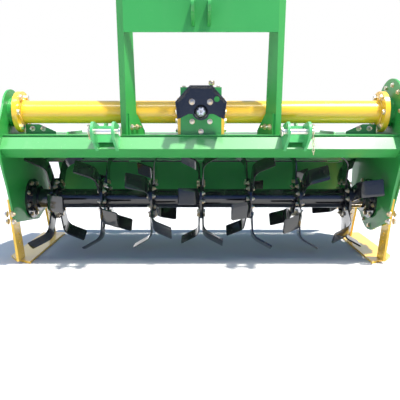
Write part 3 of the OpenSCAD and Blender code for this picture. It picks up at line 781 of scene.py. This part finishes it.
class TILLER_OT_rotor_parts(bpy.types.Operator):
    """Weld the rotor's flanges to its tube and bolt its end bearings"""
    bl_idname = "tiller.rotor_parts"
    bl_label = "Rotor welds and bearing bolts"

    def execute(self, context):
        tube_r = (high("rotor_tube")[2] - low("rotor_tube")[2]) / 2
        for k in range(BLADE_SETS):
            x = middle("blades_%d" % (k + 1))[0]
            for side, word in ((-1, "a"), (1, "b")):
                weld_bead("rotor_weld_%d_%s" % (k + 1, word), "rotor",
                          [x + side * 0.005, ROTOR[1], ROTOR[2]], ALONG, tube_r + 0.001, 0.004,
                          "black_paint", 60)
        ring, seat = 0.077, PLATE_X - 0.010
        places, directions = [], []
        for side in (-1, 1):
            for turn in np.radians(np.arange(15, 375, 45)):
                places.append([side * seat, ROTOR[1] + ring * math.cos(turn),
                               ROTOR[2] + ring * math.sin(turn)])
                directions.append([-side, 0, 0])
        bolts("bearing_bolts", "frame", places, directions, 0.010)
        for side, word in SIDES:
            self.seal(side, word)
        return {"FINISHED"}

    def seal(self, side, word):
        """Labyrinth ring round the stub shaft: a turned ring with two grooves."""
        x = PLATE_X - 0.040
        rows = [(0.046, 0.0, 0), (0.046, 0.003, 0), (0.043, 0.0035, 0), (0.043, 0.0045, 0),
                (0.040, 0.0045, 0), (0.040, 0.0025, 0), (0.034, 0.0025, 0), (0.034, 0.005, 0),
                (0.029, 0.005, 0), (0.029, 0.0, 0)]
        points, faces = lathe(rows, 48), grid_faces(len(rows), 48)
        moved, faces = place_copies(points, faces, [[side * x, ROTOR[1], ROTOR[2]]],
                                    [[-side, 0, 0]])
        build("bearing_seal_" + word, moved, faces[:-2] + self.closing(len(rows), 48), "frame",
              "black_paint")

    def closing(self, rows, columns):
        """Faces that join a turned ring's last row back to its first."""
        c = np.arange(columns)
        n = (c + 1) % columns
        last = (rows - 1) * columns
        return [list(map(int, q)) for q in np.stack([last + c, last + n, n, c], axis=-1)]


class TILLER_OT_case_parts(bpy.types.Operator):
    """Bolt the chain case, its cover and the right side plate together"""
    bl_idname = "tiller.case_parts"
    bl_label = "Chain case bolts and plugs"

    def execute(self, context):
        top = np.array([TUBE[1], TUBE[2]])
        foot = np.array([ROTOR[1], ROTOR[2]])
        outer = high("case_cover")[0]
        places = []
        for centre, radius, turns in ((top, 0.124, range(-10, 200, 35)),
                                      (foot, 0.112, range(175, 385, 35))):
            for turn in np.radians(list(turns)):
                places.append([outer, centre[0] + radius * math.cos(turn),
                               centre[1] + radius * math.sin(turn)])
        along = (foot - top) / np.linalg.norm(foot - top)
        square = np.array([-along[1], along[0]])
        for share in (0.33, 0.52, 0.71):
            for side in (-1, 1):
                at = top + (foot - top) * share + square * side * (0.120 - 0.012 * share)
                places.append([outer, at[0], at[1]])
        bolts("case_cover_bolts", "frame", places, [ALONG] * len(places), 0.010)

        plate_t = 0.008
        inner = high("side_plate_right")[0] - plate_t
        inside = []
        for centre, radius, turns in ((top, 0.112, (65, 100, 135, 178, 30)),
                                      (foot, 0.128, (-25, -60, -95, 160, 35))):
            for turn in np.radians(turns):
                inside.append([inner, centre[0] + radius * math.cos(turn),
                               centre[1] + radius * math.sin(turn)])
        bolts("case_inner_bolts", "frame", inside, [-ALONG] * len(inside), 0.010)
        bolts("case_plugs", "frame", [[outer, foot[0] - 0.05, foot[1] + 0.01],
                                      [outer, foot[0] + 0.04, foot[1] - 0.085]],
              [ALONG, ALONG], 0.018)
        rows = [(0.052, 0, 0), (0.052, 0.004, 0), (0.049, 0.006, 0), (0.038, 0.006, 0),
                (0.036, 0.012, 0), (0.030, 0.014, 0), (0.010, 0.014, 0)]
        points, faces = place_copies(lathe(rows, 48), grid_faces(len(rows), 48),
                                     [[outer, foot[0], foot[1]]], [ALONG])
        build("case_hub_cap", points, faces, "frame", "green_paint")
        return {"FINISHED"}


class TILLER_OT_skid_bolts(bpy.types.Operator):
    """Bolt the skids' front and rear bars to the side plates"""
    bl_idname = "tiller.skid_bolts"
    bl_label = "Skid bolts"

    def execute(self, context):
        d = context.scene.tiller_finish.frame_bolt
        heads, outs, nuts, ins = [], [], [], []
        half_bar, bars, sole_t = 0.036, 0.018, 0.010
        front, rear = low("skid_right")[1] + half_bar, high("skid_right")[1] - half_bar
        for side in (-1, 1):
            for z, base, lean in ((0.205, front, 0.183), (0.238, front, 0.183),
                                  (0.215, rear, 0.372), (0.262, rear, 0.372)):
                y = base - lean * (z - sole_t)
                heads.append([side * (PLATE_X + bars), y, z])
                nuts.append([side * PLATE_X, y, z])
            outs += [[side, 0, 0]] * 4
            ins += [[-side, 0, 0]] * 4
        bolts("skid_bolts", "frame", heads, outs, d)
        bolts("skid_nuts", "frame", nuts, ins, d, shank=0.006)
        return {"FINISHED"}


class TILLER_OT_mast_parts(bpy.types.Operator):
    """Bolt the mast's feet and braces"""
    bl_idname = "tiller.mast_parts"
    bl_label = "Mast bolts and welds"

    def execute(self, context):
        mast_half, leg_t, turn = 0.302, 0.008, math.radians(123)
        along = np.array([math.cos(turn), math.sin(turn), 0])
        across = np.array([math.sin(turn), -math.cos(turn), 0])
        base = low("gearbox")[2]
        start = np.array([mast_half, low("mast_leg_right")[1], base])
        heads, nuts, outs, ins = [], [], [], []
        for side in (-1, 1):
            flip = np.array([side, 1, 1])
            for u, v in ((0.027, 0.030), (0.056, 0.030)):
                spot = start + along * u + UP * v
                heads.append((spot + across * leg_t) * flip)
                outs.append(across * flip)
                nuts.append((spot - across * leg_t) * flip)
                ins.append(-across * flip)
        bolts("mast_foot_bolts", "frame", heads, outs, 0.011)
        bolts("mast_foot_nuts", "frame", nuts, ins, 0.011, shank=0.014)
        rear = high("mast_braces")[1]
        low_z = low("mast_braces")[2]
        brace_side = 0.312
        feet, out = [], []
        for side in (-1, 1):
            for y in (rear - 0.048, rear - 0.014):
                feet.append([side * brace_side, y, low_z + 0.014])
                out.append([side, 0, 0])
        bolts("brace_bolts", "frame", feet, out, 0.010)
        return {"FINISHED"}


class TILLER_OT_hitch_parts(bpy.types.Operator):
    """Add the hitch pins' collars, linch pins, rings and the retaining chain"""
    bl_idname = "tiller.hitch_parts"
    bl_label = "Linch pins and chain"

    def execute(self, context):
        pin_low, pin_high = low("hitch_pin_right"), high("hitch_pin_right")
        y, z = (pin_low[1] + pin_high[1]) / 2, (pin_low[2] + pin_high[2]) / 2
        r = (pin_high[2] - pin_low[2]) / 2
        for side, word in SIDES:
            inner, outer = side * pin_low[0], side * pin_high[0]
            rows = [(r + 0.0002, 0.0, 0), (r + 0.007, 0.0005, 0), (r + 0.008, 0.002, 0),
                    (r + 0.008, 0.007, 0), (r + 0.006, 0.0085, 0), (0.004, 0.009, 0)]
            points, faces = place_copies(lathe(rows, 32), grid_faces(len(rows), 32),
                                         [[inner + side * 0.001, y, z]], [[-side, 0, 0]])
            build("pin_head_" + word, points, faces, "frame", "zinc_steel")
            self.linch(outer - side * 0.006, y, z, r, word)
        self.chain(pin_high[0] - 0.006, y - 0.014, z - r)
        return {"FINISHED"}

    def linch(self, x, y, z, r, word):
        """Linch pin down through the hitch pin, with a spring ring round the pin's end."""
        rows = [(0.002, -0.030, 0), (0.0042, -0.027, 0), (0.0042, 0.016, 0), (0.0075, 0.017, 0),
                (0.0080, 0.021, 0), (0.0070, 0.026, 0), (0.002, 0.0265, 0)]
        points = lathe(rows, 16) + np.array([x, y, z])
        build("linch_pin_" + word, points, grid_faces(len(rows), 16), "frame", "zinc_steel",
              "bolt_zinc")
        ring, faces = loop(0.0, r + 0.011, 0.004)
        ring = ring @ np.stack([REAR, ALONG, UP]) + np.array([x, y, z + 0.004])
        build("linch_ring_" + word, ring, [face[::-1] for face in faces], "frame", "zinc_steel",
              "bolt_zinc")

    def chain(self, x, y, z):
        """Hanging chain of short links, each turned a quarter from the one above."""
        points, faces = [], []
        unit, unit_faces = loop(0.0035, 0.0042, 0.0024, 6, 20)
        for i in range(7):
            turned = unit if i % 2 else unit @ np.array([[0, 1, 0], [-1, 0, 0], [0, 0, 1.0]])
            shift = sum(len(p) for p in points)
            points.append(turned + np.array([x + 0.0006 * i, y, z - 0.006 - 0.0107 * i]))
            faces += [[j + shift for j in face] for face in unit_faces]
        build("hitch_chain", np.concatenate(points), faces, "frame", "zinc_steel", "bolt_zinc")


class TILLER_OT_rod_parts(bpy.types.Operator):
    """Put springs, washers and nuts on the trailing board's adjusting rods"""
    bl_idname = "tiller.rod_parts"
    bl_label = "Rod springs and nuts"

    def execute(self, context):
        for side, word in SIDES:
            eye = joint_place("rod_%s_swing" % word)
            box_low, box_high = low("rod_" + word), high("rod_" + word)
            top = np.array([eye[0], box_low[1] + 0.006, box_high[2] - 0.006])
            along = (top - eye) / np.linalg.norm(top - eye)
            length = float(np.linalg.norm(top - eye))
            body = "rod_" + word
            points, faces = coil(eye + along * (length - 0.290), eye + along * (length - 0.170),
                                 0.0125, 0.0042, 9)
            build("rod_spring_" + word, points, faces, body, "zinc_steel", "bolt_zinc")
            rows = [(0.0083, 0.0, 0), (0.016, 0.0, 0), (0.016, 0.003, 0), (0.012, 0.0035, 1),
                    (0.0125, 0.016, 1), (0.0083, 0.0165, 0)]
            stack = lathe(rows, 24, 6)
            places = [eye + along * (length - at) for at in (0.168, 0.294, 0.040)]
            points, faces = place_copies(stack, grid_faces(len(rows), 24), places,
                                         [along, -along, along])
            build("rod_nuts_" + word, points, faces, body, "zinc_steel", "bolt_zinc")
        return {"FINISHED"}


class TILLER_OT_welds(bpy.types.Operator):
    """Run weld beads where the hitch ears meet the beam"""
    bl_idname = "tiller.welds"
    bl_label = "Welds"

    def execute(self, context):
        beam = middle("front_beam")
        edge = beam + np.array([0.0, -0.0457, -0.0054])
        ridge = beam + np.array([0.0, -0.0068, 0.0455])
        for side, word in SIDES:
            for number, x in enumerate((0.328, 0.338, 0.408, 0.418)):
                path = [edge + (ridge - edge) * share for share in (0.12, 0.95)]
                path = [[side * x, at[1], at[2]] for at in path]
                seam("ear_weld_%s_%d" % (word, number + 1), "frame", path, 0.0032,
                     "light_green_paint")
        return {"FINISHED"}


class TILLER_PT_panel(bpy.types.Panel):
    """Lists the tiller's operators and sizes"""
    bl_idname = "TILLER_PT_panel"
    bl_label = "Tiller"
    bl_space_type = "VIEW_3D"
    bl_region_type = "UI"
    bl_category = "Tiller"

    def draw(self, context):
        for group in (context.scene.tiller_finish, context.scene.tiller_stage):
            for name in group.__annotations__:
                self.layout.prop(group, name)
        for operator in OPERATORS:
            self.layout.operator(operator.bl_idname)


OPERATORS = (TILLER_OT_stage, TILLER_OT_finishes, TILLER_OT_tube_bolts,
             TILLER_OT_gearbox_parts, TILLER_OT_blades, TILLER_OT_rotor_parts,
             TILLER_OT_case_parts, TILLER_OT_skid_bolts, TILLER_OT_mast_parts,
             TILLER_OT_hitch_parts, TILLER_OT_rod_parts, TILLER_OT_welds)
CLASSES = (TillerFinish, TillerStage, *OPERATORS, TILLER_PT_panel)


def register():
    for item in CLASSES:
        bpy.utils.register_class(item)
    bpy.types.Scene.tiller_finish = bpy.props.PointerProperty(type=TillerFinish)
    bpy.types.Scene.tiller_stage = bpy.props.PointerProperty(type=TillerStage)


def unregister():
    del bpy.types.Scene.tiller_stage
    del bpy.types.Scene.tiller_finish
    for item in reversed(CLASSES):
        bpy.utils.unregister_class(item)


def main():
    """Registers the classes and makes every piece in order."""
    register()
    bpy.ops.tiller.stage()
    bpy.ops.tiller.finishes()
    bpy.ops.tiller.tube_bolts()
    bpy.ops.tiller.gearbox_parts()
    bpy.ops.tiller.blades()
    bpy.ops.tiller.rotor_parts()
    bpy.ops.tiller.case_parts()
    bpy.ops.tiller.skid_bolts()
    bpy.ops.tiller.mast_parts()
    bpy.ops.tiller.hitch_parts()
    bpy.ops.tiller.rod_parts()
    bpy.ops.tiller.welds()


if __name__ == "__main__":
    main()
